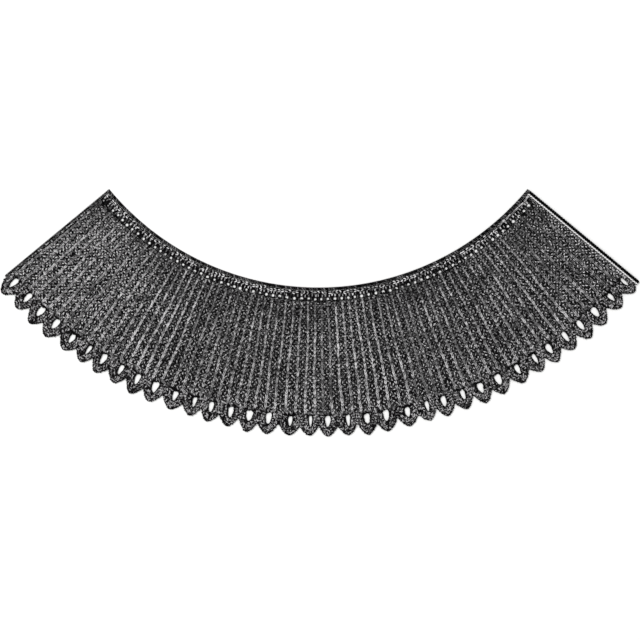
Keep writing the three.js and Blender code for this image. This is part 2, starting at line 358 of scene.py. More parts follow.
# The moss stitch's shade beside a crest, darker there with painted shadow at the crest's foot, and in the
# middle between two
MOSS_SHADES = (0.9, 1.05)


def upwards(directions):
    """Straight up, once for each of some directions."""
    return np.broadcast_to([0.0, 0.0, 1.0], directions.shape)


def turned(first, second, turn):
    """Directions turned by an angle from the first ones towards the second ones, square to them."""
    return np.cos(turn) * first + np.sin(turn) * second


def spindles(centre, along, up, length, width, thickness, bow=0.0, dip=0.0, yarn=THICK_YARN):
    """Many short pieces of yarn at once, as points (n, points each, 3). At t from 0 to 1 along one,
    its round section has the radius sin(pi t)^0.6 times half its width and thickness. Its middle
    line is bent sideways by bow (1 - (2t - 1)^2), and its ends dip by dip (2t - 1)^2."""
    sideways = np.cross(along, up)
    t, turn = section_places(yarn)
    swell = np.sin(np.pi * t) ** YARN_TAPER
    bend = 1 - (2 * t - 1) ** 2
    sizes = (length, width, thickness, bow, dip)
    length, width, thickness, bow, dip = (np.broadcast_to(s, len(centre))[:, None] for s in sizes)
    forwards = (t - 0.5) * length
    aside = swell * np.cos(turn) * width / 2 + bow * bend
    rise = swell * np.sin(turn) * thickness / 2 - dip * (1 - bend)
    vectors = zip((forwards, aside, rise), (along, sideways, up))
    return centre[:, None, :] + sum(amount[..., None] * vector[:, None, :] for amount, vector in vectors)


def section_places(yarn):
    """The place along, 0 to 1, and the angle round of each point of one spindle. The first and last
    points are its tips, and each ring starts at the top."""
    sides, rings = yarn["sides"], yarn["rings"]
    turn = np.pi / 2 + 2 * np.pi * np.arange(sides) / sides
    t = np.concatenate([[0], np.repeat(rings, sides), [1]])
    return t, np.concatenate([[0], np.tile(turn, len(rings)), [0]])


def spindle_faces(yarn):
    """The triangles of one spindle: fans at both tips and two to each quad between its rings."""
    sides, rings = yarn["sides"], len(yarn["rings"])
    ring = 1 + np.arange(rings * sides).reshape(rings, sides)
    ahead = np.roll(ring, -1, axis=1)
    first, last = np.zeros(sides, int), np.full(sides, 1 + rings * sides)
    tips = [(first, ring[0], ahead[0]), (ring[-1], last, ahead[-1])]
    walls = [(ring[:-1], ring[1:], ahead[1:]), (ring[:-1], ahead[1:], ahead[:-1])]
    return np.concatenate([np.stack([c.ravel() for c in corners], axis=1) for corners in tips + walls])


def strands(points, shade, yarn=THICK_YARN):
    """Spindles' points (n, points each, 3) with their faces, each point's shade and each corner's UV.
    A spindle's own shade (n,) is that of its lit upper side. Round it a painted shade falls to the
    underside's with the square of the height in its section, and its tips get a painted shade of their own."""
    count, each = points.shape[:2]
    t, turn = section_places(yarn)
    one = spindle_faces(yarn)
    faces = (one + each * np.arange(count)[:, None, None]).reshape(-1, 3)
    # Painted light and shade round each spindle: lightest on its top, darker round to its underside
    painted_shading = UNDER_PAINTED_SHADE + (1 - UNDER_PAINTED_SHADE) * ((1 + np.sin(turn)) / 2) ** 2
    painted_shading[[0, -1]] = TIP_PAINTED_SHADE
    around = (turn / (2 * np.pi)) % 1
    corner_uv = np.stack([around[one], t[one]], axis=-1).reshape(-1, 2)
    return points.reshape(-1, 3), faces, (shade[:, None] * painted_shading).ravel(), np.tile(corner_uv, (count, 1))


def yarn_piece(name, groups, material):
    """Joins groups of strands into one piece."""
    points, faces, shade, corner_uv = zip(*groups)
    first = np.cumsum([0] + [len(p) for p in points[:-1]])
    faces = np.concatenate([f + start for f, start in zip(faces, first)])
    points, shade, corner_uv = (np.concatenate(part) for part in (points, shade, corner_uv))
    piece = add_piece(name, points, faces, material, shade, corner_uv)
    return piece


def v_stitches(centre, along, across, half_gap, slant, bow=0.0, **size):
    """A row of V-shaped stitches: to each side of its line, half_gap away, a leg turned by slant
    towards the line. Gives the left legs' points and then the right legs'."""
    half_gap = np.broadcast_to(half_gap, len(centre))[:, None]
    legs = []
    for side in (-1, 1):
        leg_centre = centre + side * half_gap * across
        direction = turned(along, -side * across, slant)
        legs.append(spindles(leg_centre, direction, upwards(along), bow=side * bow, **size))
    return np.concatenate(legs)


# Yarn colours run from near black, which painted shade reaches on undersides and in gaps, to a pale grey,
# which the painted light on the tops of the lightest stitches reaches
CHARCOAL_AND_SHADE = (0.002, 0.0019, 0.0021)
body_yarn = wool("charcoal_yarn", dark=CHARCOAL_AND_SHADE, light=(0.70, 0.69, 0.70))
stitch_random = np.random.default_rng(11)
course_height = (BODY_END - BODY_START) / COURSES
first_wale, last_wale = first_rib_place * WALES_PER_RIB, last_rib_place * WALES_PER_RIB
# Whole wale numbers, and one wale close by each front edge
wales = np.arange(np.ceil(first_wale + WHOLE_WALE_INSET), last_wale - WHOLE_WALE_INSET)
wales = np.concatenate([[first_wale + END_WALE_INSET], wales, [last_wale - END_WALE_INSET]])

# Clouds of shade: waves that run so many radians for each radian across the fan and metre down it
CLOUD_WAVES = ((9, 0), (23, 60), (0, 90), (-14, 140))
CLOUD_DEPTH = 0.03
# The ends are lighter, from an angle onwards over a run
LEFT_END_LIGHT = 0.28
LEFT_END_ANGLE = np.radians(30)
RIGHT_END_LIGHT = 0.12
RIGHT_END_ANGLE = np.radians(38)
END_LIGHT_RUN = np.radians(8)
# Shadow where the ribs are drawn in at the neck, most of all in the two corners
NECK_SHADOW = 0.22
NECK_SHADOW_LENGTH = 0.036
CORNER_SHADOW = 0.3
CORNER_REACH_ACROSS = 0.008
CORNER_REACH_DOWN = 0.022
cloud_phase = stitch_random.uniform(0, 2 * np.pi, len(CLOUD_WAVES))


def body_shade_at(angle, radius):
    """Slow changes of shade over the body: 1 plus the sum of the clouds' waves and the ends' light,
    times what the neck's shadow and the corners' shadow each leave."""
    waves = sum(
        np.sin(across * angle + down * radius + phase)
        for (across, down), phase in zip(CLOUD_WAVES, cloud_phase)
    )
    left = LEFT_END_LIGHT * ease((-angle - LEFT_END_ANGLE) / END_LIGHT_RUN)
    right = RIGHT_END_LIGHT * ease((angle - RIGHT_END_ANGLE) / END_LIGHT_RUN)
    from_neck = radius - BODY_START
    neck = NECK_SHADOW * np.clip(1 - from_neck / NECK_SHADOW_LENGTH, 0, 1)
    from_front = radius * (FRONT_ANGLE - np.abs(angle))
    corner = CORNER_SHADOW * (1 - ease(from_front / CORNER_REACH_ACROSS))
    corner = corner * (1 - ease(from_neck / CORNER_REACH_DOWN))
    return (1 + CLOUD_DEPTH * waves + left + right) * (1 - neck) * (1 - corner)


def stitch_places(wales):
    """The rib place, course, radius and angle of every stitch of the given wales, a little uneven."""
    rib, course = (g.ravel() for g in np.meshgrid(wales / WALES_PER_RIB, np.arange(COURSES), indexing="ij"))
    radius = BODY_START + course_height * (course + 0.5)
    radius = radius + stitch_random.normal(0, STITCH_UNEVEN_DOWN, radius.shape)
    rib = rib + stitch_random.normal(0, STITCH_UNEVEN_ACROSS, rib.shape)
    return rib, course, radius, fan_place(rib, radius)


rib, course, radius, angle = stitch_places(wales[wales % WALES_PER_RIB == 0])
outwards, across = fan_directions(angle)
centre = on_fan(radius, angle, cloth_height(rib, radius) + CREST_RISE)
crest_half_gap = np.interp(radius, (BODY_START, BODY_END), CREST_HALF_GAPS)
crest_width = np.interp(radius, (BODY_START, BODY_END), CREST_WIDTHS)
crest_legs = v_stitches(centre, outwards, across, crest_half_gap, width=crest_width, **CREST_LEG)
crest_angle = np.tile(angle, 2)
fade_phase = CREST_FADE_STEP * rib_sway_phase[nearest_rib(rib)]
fade = 1 + CREST_FADE * np.sin(2 * np.pi * radius / CREST_FADE_LENGTH + fade_phase)
# Painted light: prouder crests are lighter
crest_shade = CREST_SHADE + CREST_PAINTED_LIGHT_BY_LIFT * rib_lifts[nearest_rib(rib)]
crest_shade = crest_shade * body_shade_at(angle, radius) * fade
crest_shade = np.tile(crest_shade * stitch_random.uniform(*CREST_STITCH_SHADES, crest_shade.shape), 2)
crest_shade = crest_shade * stitch_random.uniform(*CREST_LEG_SHADES, crest_shade.shape)

rib, course, radius, angle = stitch_places(wales[wales % WALES_PER_RIB != 0])
outwards, across = fan_directions(angle)
half_wale = 0.5 / WALES_PER_RIB
wale_width = radius * (fan_place(rib + half_wale, radius) - fan_place(rib - half_wale, radius))
beside_crest = np.abs(rib - nearest_rib(rib)) < 3 * half_wale
# Painted shadow on the moss stitches beside each crest
moss_shade = body_shade_at(angle, radius) * np.where(beside_crest, *MOSS_SHADES)
height = cloth_height(rib, radius)
is_purl = (np.round(rib * WALES_PER_RIB) + course) % 2 == 0

tilt = np.radians(stitch_random.normal(*PURL_TILT, (np.sum(is_purl), 1)))
tilt = tilt * stitch_random.choice([-1, 1], tilt.shape)
purl_along = turned(across[is_purl], outwards[is_purl], tilt)
purl_centre = on_fan(radius, angle, height + PURL_RISE)[is_purl]
purl_stretch = stitch_random.uniform(*PURL_STRETCHES, len(purl_centre))
purl_length = np.minimum(wale_width[is_purl], PURL_LONGEST) * purl_stretch
purl_loops = spindles(purl_centre, purl_along, upwards(purl_along), purl_length, **PURL_LOOP)
purl_shade = PURL_SHADE * moss_shade[is_purl] * stitch_random.uniform(*PURL_SHADES, len(purl_loops))
purl_angle = angle[is_purl]

is_plain = ~is_purl
plain_centre = on_fan(radius, angle, height + PLAIN_RISE)[is_plain]
plain_gap = PLAIN_HALF_GAP * wale_width[is_plain]
plain_legs = v_stitches(
    plain_centre, outwards[is_plain], across[is_plain], plain_gap, yarn=THIN_YARN, **PLAIN_LEG
)
plain_shade = PLAIN_SHADE * np.tile(moss_shade[is_plain], 2)
plain_shade = plain_shade * stitch_random.uniform(*PLAIN_SHADES, len(plain_legs))
plain_angle = np.tile(angle[is_plain], 2)

for half, side in (("left", -1), ("right", 1)):
    crest, purl, plain = (np.sign(a) * side >= 0 for a in (crest_angle, purl_angle, plain_angle))
    crest_strands = strands(crest_legs[crest], crest_shade[crest])
    purl_strands = strands(purl_loops[purl], purl_shade[purl])
    plain_strands = strands(plain_legs[plain], plain_shade[plain], THIN_YARN)
    for kind, groups in (("crest", [crest_strands]), ("moss", [purl_strands, plain_strands])):
        yarn_piece(f"{kind}_stitches_{half}", groups, body_yarn)

# Neckband
# A narrow crocheted band along the body's neck side. Beside the cord runs a pale row of chain
# stitches, then rings of yarn and a row of small round eyelets, each worked round with short
# stitches, and last the row that gathers the ribs, dark with painted shade where they are drawn in.
BAND_START = NECK_RADIUS + NECK_CORD_WIDTH + SEAM_GAP
BAND_END = BAND_START + NECKBAND_WIDTH
BAND_THICKNESS = 0.0008
BAND_SIDE_STEPS = 6
BAND_RING_STEPS = 4
# Painted shade of the flat cloths, seen in the gaps between their stitches
FLAT_CLOTH_SHADE = 0.25
EYELET_RADIUS = 0.0011
EYELET_CENTRE_RADIUS = BAND_START + 0.0069
EYELET_SIZES = (0.85, 1.2)
EYELET_UNEVEN = 0.0002
# The first eyelets are nearly shut, and the last ones a little wider
SHUT_EYELETS, SHUT_SIZE = 2, 0.5
WIDE_EYELETS, WIDE_SIZE = 7, 1.12


def holed_cells(hole, edge, steps):
    """A sheet with one hole in each cell: straight lines from the hole's loop of points (cells, n, 3)
    to the cell's edge loop (cells, n, 3), cut in steps. Cells share the points where they meet."""
    share = np.linspace(0, 1, steps + 1)[None, :, None, None]
    points = hole[:, None] * (1 - share) + edge[:, None] * share
    cells, rings, around = points.shape[:3]
    number = np.arange(cells * rings * around).reshape(cells, rings, around)
    ahead = np.roll(number, -1, axis=2)
    corners = [number[:, :-1], number[:, 1:], ahead[:, 1:], ahead[:, :-1]]
    quads = np.stack([c.ravel() for c in corners], axis=1)
    # Points that agree to a tenth of a micrometre are one point
    keys = np.round(points.reshape(-1, 3) * 1e7).astype(np.int64)
    _, first, same = np.unique(keys, axis=0, return_index=True, return_inverse=True)
    return points.reshape(-1, 3)[first], same.reshape(-1)[quads]


def thicken(piece, thickness):
    """Gives a sheet that lies at z = 0 its thickness, upwards."""
    solidify = piece.modifiers.new("thickness", "SOLIDIFY")
    solidify.thickness = thickness
    solidify.offset = 1


eyelet_angles = fan_angle(fan_fraction(rib_angles), EYELET_CENTRE_RADIUS)
EYELET_COUNT = len(eyelet_angles)
band_random = np.random.default_rng(23)
eyelet_sizes = EYELET_RADIUS * band_random.uniform(*EYELET_SIZES, EYELET_COUNT)
eyelet_sizes[:SHUT_EYELETS] *= SHUT_SIZE
eyelet_sizes[-WIDE_EYELETS:] *= WIDE_SIZE
eyelet_radii = EYELET_CENTRE_RADIUS + band_random.normal(0, EYELET_UNEVEN, EYELET_COUNT)
side_fractions = fan_fraction((rib_angles[1:] + rib_angles[:-1]) / 2)
side_fractions = np.concatenate([[0], side_fractions, [1]])


def band_cell_edges():
    """Each cell's edge loop: down its left side, along the body side, up its right side and back."""
    step = np.linspace(0, 1, BAND_SIDE_STEPS, endpoint=False)
    left, right = side_fractions[:-1, None], side_fractions[1:, None]
    down = BAND_START + step * NECKBAND_WIDTH
    back = BAND_END - step * NECKBAND_WIDTH
    rightwards = left + (right - left) * step
    leftwards = right - (right - left) * step
    radius = [down, np.full_like(step, BAND_END), back, np.full_like(step, BAND_START)]
    fraction = [left + 0 * step, rightwards, right + 0 * step, leftwards]
    parts = [on_fan(r, fan_angle(f, r)) for r, f in zip(radius, fraction)]
    return np.concatenate(parts, axis=1)


def eyelet_loops(cell_edges):
    """A circle round each eyelet's centre, with its points towards those of the cell's edge loop."""
    centre = on_fan(eyelet_radii, eyelet_angles)[:, None]
    outwards, across = (v[:, None] for v in fan_directions(eyelet_angles))
    edge = cell_edges - centre
    right = (edge * across).sum(-1)
    down = (edge * outwards).sum(-1)
    turn = np.unwrap(np.arctan2(down, right), axis=1)[..., None]
    return centre + eyelet_sizes[:, None, None] * turned(across, outwards, turn)


band_edges = band_cell_edges()
band_points, band_faces = holed_cells(eyelet_loops(band_edges), band_edges, BAND_RING_STEPS)
# Near black: painted shadow in the gaps between the band's stitches
band_wool = wool("band_cloth", dark=GAP_SHADOW_DARK, light=GAP_SHADOW_LIGHT, twisted=False)
band_cloth = add_piece("neckband_cloth", band_points, band_faces, band_wool, FLAT_CLOTH_SHADE)
thicken(band_cloth, BAND_THICKNESS)
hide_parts("neckband")

# Its dark end is partly painted shade, as for the body's yarn
band_yarn = wool("band_yarn", dark=CHARCOAL_AND_SHADE, light=(0.80, 0.79, 0.80))
USUAL_SPACING = 0.003


def arc_row(radius, count, height, uneven):
    """Centres, directions along the row and directions across it, for stitches round an arc, each
    shifted from its even place by up to about the distance uneven."""
    radius = radius + uneven * band_random.normal(size=count)
    share = (np.arange(count) + 0.5 + uneven / USUAL_SPACING * band_random.normal(size=count)) / count
    angle = fan_angle(share, radius)
    outwards, across = fan_directions(angle)
    return on_fan(radius, angle, height), across, outwards


# The chain row: links whose two sides bow apart round a dark middle, some turned askew. Towards
# the right front they are drawn tight into a thin pale line.
CHAIN_ROW_RADIUS = BAND_START + 0.0017
CHAIN_STITCHES = 132
CHAIN_HEIGHT = BAND_THICKNESS + 0.0005
CHAIN_UNEVEN = 0.0003
CHAIN_SLANT = (12, 25)
CHAIN_SHADES = (0.3, 1.55)
CHAIN_LINK = {"thickness": 0.0012, "bow": 0.0002}
LOOSE_LINK = {"half_gap": 0.0006, "length": 0.0027, "width": 0.0012}
TIGHT_LINK = {"half_gap": 0.0003, "length": 0.0037, "width": 0.0008}
# Shares of the row: where it begins to tighten, and over how much; and how much lighter it gets
TIGHT_FROM = 0.88
TIGHT_RUN = 0.05
TIGHT_LIGHT = 0.15
centre, along, outwards = arc_row(CHAIN_ROW_RADIUS, CHAIN_STITCHES, CHAIN_HEIGHT, CHAIN_UNEVEN)
tight = ease((np.arange(CHAIN_STITCHES) / CHAIN_STITCHES - TIGHT_FROM) / TIGHT_RUN)
slant = np.radians(band_random.normal(*CHAIN_SLANT, (CHAIN_STITCHES, 1))) * (1 - tight[:, None])
link_sizes = {size: loose + (TIGHT_LINK[size] - loose) * tight for size, loose in LOOSE_LINK.items()}
links = v_stitches(centre, along, outwards, slant=slant, **link_sizes, **CHAIN_LINK)
link_shade = band_random.uniform(*CHAIN_SHADES, len(links)) * (1 + TIGHT_LIGHT * np.tile(tight, 2))
chain_row = strands(links, link_shade)

# Rings of yarn below the chain row, each of two legs that bow apart
POST_ROW_RADIUS = BAND_START + 0.0041
POST_SHADES = (0.0, 1.25)
POST_LEG = {"length": 0.0026, "width": 0.0009, "thickness": 0.0010}
POST_BEND = {"half_gap": 0.0006, "slant": np.radians(8), "bow": 0.0004}
ROW_HEIGHT = BAND_THICKNESS + 0.0003
ROW_UNEVEN = 0.0004
centre, along, outwards = arc_row(POST_ROW_RADIUS, 2 * EYELET_COUNT, ROW_HEIGHT, ROW_UNEVEN)
posts = v_stitches(centre, outwards, along, **POST_BEND, **POST_LEG)
posts = strands(posts, band_random.uniform(*POST_SHADES, len(posts)))

# Pairs of upright stitches, between one eyelet and the next and twice before the right front
BAR = {"length": 0.0032, "width": 0.0009, "thickness": 0.0010}
BAR_HALF_GAP = 0.0005
BAR_SHADES = (0.0, 0.6)
LAST_BAR_PLACES = np.array([0.4, 0.75])
between = (eyelet_angles[1:] + eyelet_angles[:-1]) / 2
last_gap = fan_angle(1, EYELET_CENTRE_RADIUS) - eyelet_angles[-1]
between = np.append(between, eyelet_angles[-1] + last_gap * LAST_BAR_PLACES)
outwards, across = fan_directions(between)
centre = on_fan(EYELET_CENTRE_RADIUS, between, ROW_HEIGHT)
centre = np.concatenate([centre - BAR_HALF_GAP * across, centre + BAR_HALF_GAP * across])
outwards = np.tile(outwards, (2, 1))
bars = spindles(centre, outwards, upwards(outwards), **BAR)
bars = strands(bars, band_random.uniform(*BAR_SHADES, len(bars)))

# Short stitches round each eyelet
RIM_STITCHES = 8
RIM_STITCH = {"length": 0.0013, "width": 0.0006, "thickness": 0.0006}
RIM_HEIGHT = BAND_THICKNESS + 0.0001
RIM_CLEARANCE = 0.0004
RIM_SHADES = (0.0, 0.35)
turn = 2 * np.pi * (np.arange(RIM_STITCHES)[None, :, None] + 0.5) / RIM_STITCHES
outwards, across = (v[:, None] for v in fan_directions(eyelet_angles))
away = turned(across, outwards, turn)
around = turned(outwards, -across, turn).reshape(-1, 3)
centre = on_fan(eyelet_radii, eyelet_angles, RIM_HEIGHT)[:, None]
centre = (centre + (eyelet_sizes[:, None, None] + RIM_CLEARANCE) * away).reshape(-1, 3)
rims = spindles(centre, around, upwards(around), **RIM_STITCH)
rims = strands(rims, band_random.uniform(*RIM_SHADES, len(rims)))

# The row that gathers the ribs, dark with painted shade where they are drawn in
GATHER_ROW_RADIUS = BAND_END - 0.0004
GATHER_STITCHES = 150
GATHER_SLANT = (20, 30)
GATHER_LEG = {"half_gap": 0.0006, "length": 0.0026, "width": 0.0011, "thickness": 0.0010}
GATHER_PAINTED_SHADE, GATHER_PAINTED_SHADE_POWER = 0.8, 1.7
centre, along, outwards = arc_row(GATHER_ROW_RADIUS, GATHER_STITCHES, ROW_HEIGHT, ROW_UNEVEN)
slant = np.radians(band_random.normal(*GATHER_SLANT, (GATHER_STITCHES, 1)))
gathers = v_stitches(centre, along, outwards, slant=slant, **GATHER_LEG)
gather_shade = GATHER_PAINTED_SHADE * band_random.uniform(0, 1, len(gathers)) ** GATHER_PAINTED_SHADE_POWER
gathers = strands(gathers, gather_shade)

band_pieces = [
    yarn_piece("neckband_chain_row", [chain_row], band_yarn),
    yarn_piece("neckband_stitches", [posts, bars, rims, gathers], band_yarn),
]

# Neck edge cord
# A firm crocheted cord in very dark wool that binds the neck edge from front to front. Its stitches
# lie aslant over the edge.
NECK_CORD_BASE_HEIGHT = 0.0019
CORD_COLUMNS = 220
# Painted shade on the cord's core, seen between its stitches
CORE_SHADE = 0.08
# A cord's section: places across it and heights, both as shares of the cord's own
CORD_SECTION = np.array([
    (0, 0.25), (0.06, 0.55), (0.18, 0.8), (0.34, 0.95), (0.5, 1),
    (0.66, 0.95), (0.82, 0.8), (0.94, 0.55), (1, 0.25),
])
WRAP_STITCHES = 200
WRAP = {"length": 0.0033, "width": 0.0015, "thickness": 0.0014, "dip": 0.0008}
WRAP_ROW_RADIUS = NECK_RADIUS + NECK_CORD_WIDTH / 2 + 0.0002
WRAP_SLANT = (35, 12)
WRAP_SHADES = (0.0, 1.1)
# Its dark end is partly painted shade, on the core and the stitches' undersides
cord_wool = wool("dark_cord_yarn", dark=CHARCOAL_AND_SHADE, light=(0.20, 0.195, 0.20))
cord_radii = NECK_RADIUS + NECK_CORD_WIDTH * CORD_SECTION[:, :1]
cord_angles = np.linspace(-FRONT_ANGLE, FRONT_ANGLE, CORD_COLUMNS)
cord_top = on_fan(cord_radii, cord_angles, NECK_CORD_BASE_HEIGHT * CORD_SECTION[:, 1:])
cord_points, cord_faces = closed_cloth(cord_top)
neck_cord = add_piece("neck_cord_core", cord_points, cord_faces, cord_wool, CORE_SHADE)
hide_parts("neck_edge_cord")

cord_random = np.random.default_rng(31)
angle = FRONT_ANGLE * (2 * (np.arange(WRAP_STITCHES) + 0.5) / WRAP_STITCHES - 1)
outwards, across = fan_directions(angle)
slant = np.radians(cord_random.normal(*WRAP_SLANT, (WRAP_STITCHES, 1)))
direction = turned(outwards, across, slant)
centre = on_fan(WRAP_ROW_RADIUS, angle, NECK_CORD_BASE_HEIGHT)
wraps = spindles(centre, direction, upwards(outwards), **WRAP)
wraps = strands(wraps, cord_random.uniform(*WRAP_SHADES, len(wraps)))
yarn_piece("neck_cord_stitches", [wraps], cord_wool)

# Scalloped edging
# A crocheted strip of shells along the hem, sewn to the body with overcast stitches. Each shell is
# worked round one drop-shaped hole: rows of stitches follow the hole's sides down to the shell's
# rounded point, and firm dark rows bind the hole and the edge.
SHELL_TIP_RADII = np.array([0.3490, 0.3486, 0.3500, 0.3494, 0.3487, 0.3482])
NOTCH_RADII = np.array([0.3403, 0.3394, 0.3412, 0.3394, 0.3408, 0.3392])
SHELL_ROUNDNESS = 1.6
HOLE_LENGTHS = np.array([0.0097, 0.0097, 0.0092, 0.0098, 0.0084, 0.0093])
HOLE_WIDTHS = np.array([0.0042, 0.0040, 0.0050, 0.0056, 0.0039, 0.0029])
HOLE_LENGTH_RANGE = (0.95, 1.04)
HOLE_WIDTH_RANGE = (0.84, 1.16)
HOLE_END_RADIUS = 0.3410
HOLE_SHIFT = 0.0004
HOLE_UNEVEN = 0.04
# Powers of a hole's shape: how near its widest place is to the body, and how blunt its ends are
HOLE_DROP = 0.6
HOLE_BLUNTNESS = 0.5
LEFT_CORD_END_RADIUS = 0.3375
RIGHT_CORD_END_RADIUS = 0.3455
EDGING_THICKNESS = 0.0009
EDGING_RING_STEPS = 4
# Points on half of a shell's loop: along the seam, down the side to the notch, along the outline;
# and how far down the hole each stretch begins, and the last one ends
LOOP_STEPS = (3, 4, 7)
HOLE_PLACES = (0, 0.08, 0.45, 1)

repeats = SHELL_COUNT // len(SHELL_PITCHES)
tip_radii = np.tile(SHELL_TIP_RADII, repeats)
right_notch_radii = np.tile(NOTCH_RADII, repeats)
left_notch_radii = np.roll(right_notch_radii, 1)
hole_random = np.random.default_rng(37)
hole_lengths = np.tile(HOLE_LENGTHS, repeats) * hole_random.uniform(*HOLE_LENGTH_RANGE, SHELL_COUNT)
hole_widths = np.tile(HOLE_WIDTHS, repeats) * hole_random.uniform(*HOLE_WIDTH_RANGE, SHELL_COUNT)


def shell_radius(shell, angle):
    """Outline of a shell: from the tip's radius to the notch's as the offset's share of the reach to
    that notch, to the power 1.6."""
    offset = angle - shell_angles[shell]
    reach = np.where(offset < 0, shell_reach_left[shell], shell_reach_right[shell])
    notch = np.where(offset < 0, left_notch_radii[shell], right_notch_radii[shell])
    share = np.clip(np.abs(offset) / reach, 0, 1) ** SHELL_ROUNDNESS
    return tip_radii[shell] + (notch - tip_radii[shell]) * share


def shell_loops():
    """The edge loop of every shell's cell and the loop of its hole, both (shells, points, 3), round
    from the middle of the seam by the left side to the tip and back by the right side. At t from 0
    to 1 down a hole, it is as wide as the root of sin(pi t^0.6) times its greatest width."""
    shells = np.arange(SHELL_COUNT)[:, None]
    notch_angles = shell_angles[:-1] + shell_reach_right[:-1]
    left_end, right_end = fan_angle(0, LEFT_CORD_END_RADIUS), fan_angle(1, RIGHT_CORD_END_RADIUS)
    limits = np.concatenate([[left_end], notch_angles, [right_end]])[:, None]
    seam_steps, side_steps, outline_steps = LOOP_STEPS
    down_hole = np.interp(np.arange(sum(LOOP_STEPS) + 1), np.cumsum((0,) + LOOP_STEPS), HOLE_PLACES)
    middle = shell_angles[:, None]
    edges, holes = [], []
    for side, limit in ((-1, limits[:-1]), (1, limits[1:])):
        seam_limit = fan_angle(fan_fraction(limit), HEM_SEAM_RADIUS)
        along_seam = middle + (seam_limit - middle) * np.linspace(0, 1, seam_steps, endpoint=False)
        seam = on_fan(HEM_SEAM_RADIUS, along_seam)
        down = np.linspace(0, 1, side_steps, endpoint=False)
        end_radius = shell_radius(shells, limit)
        side_radius = HEM_SEAM_RADIUS + (end_radius - HEM_SEAM_RADIUS) * down
        flank = on_fan(side_radius, seam_limit + (limit - seam_limit) * down)
        outline_angle = limit + (middle - limit) * np.linspace(0, 1, outline_steps + 1)
        outline = on_fan(shell_radius(shells, outline_angle), outline_angle)
        edges.append(np.concatenate([seam, flank, outline], axis=1))
        radius = HOLE_END_RADIUS - hole_lengths[:, None] * (1 - down_hole)
        fullness = np.sin(np.pi * down_hole**HOLE_DROP).clip(0) ** HOLE_BLUNTNESS
        half_width = hole_widths[:, None] / 2 * fullness
        holes.append(on_fan(radius, middle + (side * half_width + HOLE_SHIFT) / radius))
    return [np.concatenate([left, right[:, -2:0:-1]], axis=1) for left, right in (edges, holes)]


shell_edges, shell_holes = shell_loops()
# Worked holes are a little uneven: their points lie nearer or further, neighbours alike
from_middle = shell_holes - shell_holes.mean(axis=1, keepdims=True)
uneven = hole_random.normal(0, HOLE_UNEVEN, shell_holes.shape[:2] + (1,))
shell_holes += from_middle * (uneven + np.roll(uneven, 1, axis=1))
edging_points, edging_faces = holed_cells(shell_holes, shell_edges, EDGING_RING_STEPS)
# Near black: painted shadow in the gaps between the edging's stitches
edging_wool = wool("edging_cloth", dark=GAP_SHADOW_DARK, light=GAP_SHADOW_LIGHT, twisted=False)
edging_cloth = add_piece(
    "scalloped_edging_cloth", edging_points, edging_faces, edging_wool, FLAT_CLOTH_SHADE
)
thicken(edging_cloth, EDGING_THICKNESS)
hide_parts("scalloped_edging")

# Its dark end is partly painted shade, as for the body's yarn
edging_yarn = wool("edging_yarn", dark=CHARCOAL_AND_SHADE, light=(0.62, 0.608, 0.62))
edging_random = np.random.default_rng(41)
edging_strands = []


def along_loops(place, count, skipped):
    """Evenly spaced stitches on a line between the holes' loops and the edge loops, from skipped
    points past the seam's left end round the tip to the right: centres, directions and lengths."""
    loops = shell_holes * (1 - place) + shell_edges * place
    path = loops[:, skipped : loops.shape[1] - skipped + 1]
    run = np.linalg.norm(np.diff(path, axis=1), axis=2).cumsum(axis=1)
    run = np.concatenate([np.zeros((len(path), 1)), run], axis=1)
    wanted = np.arange(count + 1) / count
    knots = np.array(
        [[np.interp(wanted * r[-1], r, axis) for axis in line.T] for r, line in zip(run, path)]
    ).swapaxes(1, 2)
    steps = np.diff(knots, axis=1).reshape(-1, 3)
    lengths = np.linalg.norm(steps, axis=1)
    centres = ((knots[:, 1:] + knots[:, :-1]) / 2).reshape(-1, 3)
    return centres + [0, 0, EDGING_THICKNESS], steps / lengths[:, None], lengths


# Rows of V-shaped stitches round each hole: place from the hole, 0, to the edge, 1; and stitches.
# Their legs are longer than the stitches by the stretch.
V_ROWS = [(0.3, 12), (0.5, 14), (0.7, 16), (0.87, 17)]
V_LEG = {"half_gap": 0.0005, "width": 0.0010, "thickness": 0.0011}
V_STRETCH = 1.1
V_RISE = 0.0002
V_UNEVEN = 0.0002
V_SLANT = (25, 30)
V_SHADE, V_SHADE_POWER = 1.25, 1.4
for place, count in V_ROWS:
    centre, along, lengths = along_loops(place, count, LOOP_STEPS[0])
    sideways = np.cross(along, upwards(along))
    centre = centre + [0, 0, V_RISE] + edging_random.normal(0, V_UNEVEN, (len(centre), 1)) * sideways
    slant = np.radians(edging_random.normal(*V_SLANT, (len(centre), 1)))
    legs = v_stitches(centre, along, sideways, slant=slant, length=V_STRETCH * lengths, **V_LEG)
    leg_shade = V_SHADE * edging_random.uniform(0, 1, len(legs)) ** V_SHADE_POWER
    edging_strands.append(strands(legs, leg_shade))

# The dark rows of single stitches that bind the hole and the outline: place, stitches, and points
# that are skipped
BINDING_ROWS = [(0.12, 16, 0), (0.96, 15, sum(LOOP_STEPS[:2]))]
BINDING_STRETCH = 1.05
BINDING_WIDTHS = (0.0011, 0.0018)
BINDING_THICKNESS = 0.0013
BINDING_RISE = 0.0003
BINDING_UNEVEN = 0.00015
BINDING_SHADES = (0.0, 0.2)
for place, count, skipped in BINDING_ROWS:
    centre, along, lengths = along_loops(place, count, skipped)
    sideways = np.cross(along, upwards(along))
    shift = edging_random.normal(0, BINDING_UNEVEN, (len(centre), 1)) * sideways
    centre = centre + [0, 0, BINDING_RISE] + shift
    widths = edging_random.uniform(*BINDING_WIDTHS, len(centre))
    lengths = BINDING_STRETCH * lengths
    binding = spindles(centre, along, upwards(along), lengths, widths, BINDING_THICKNESS)
    edging_strands.append(strands(binding, edging_random.uniform(*BINDING_SHADES, len(binding))))

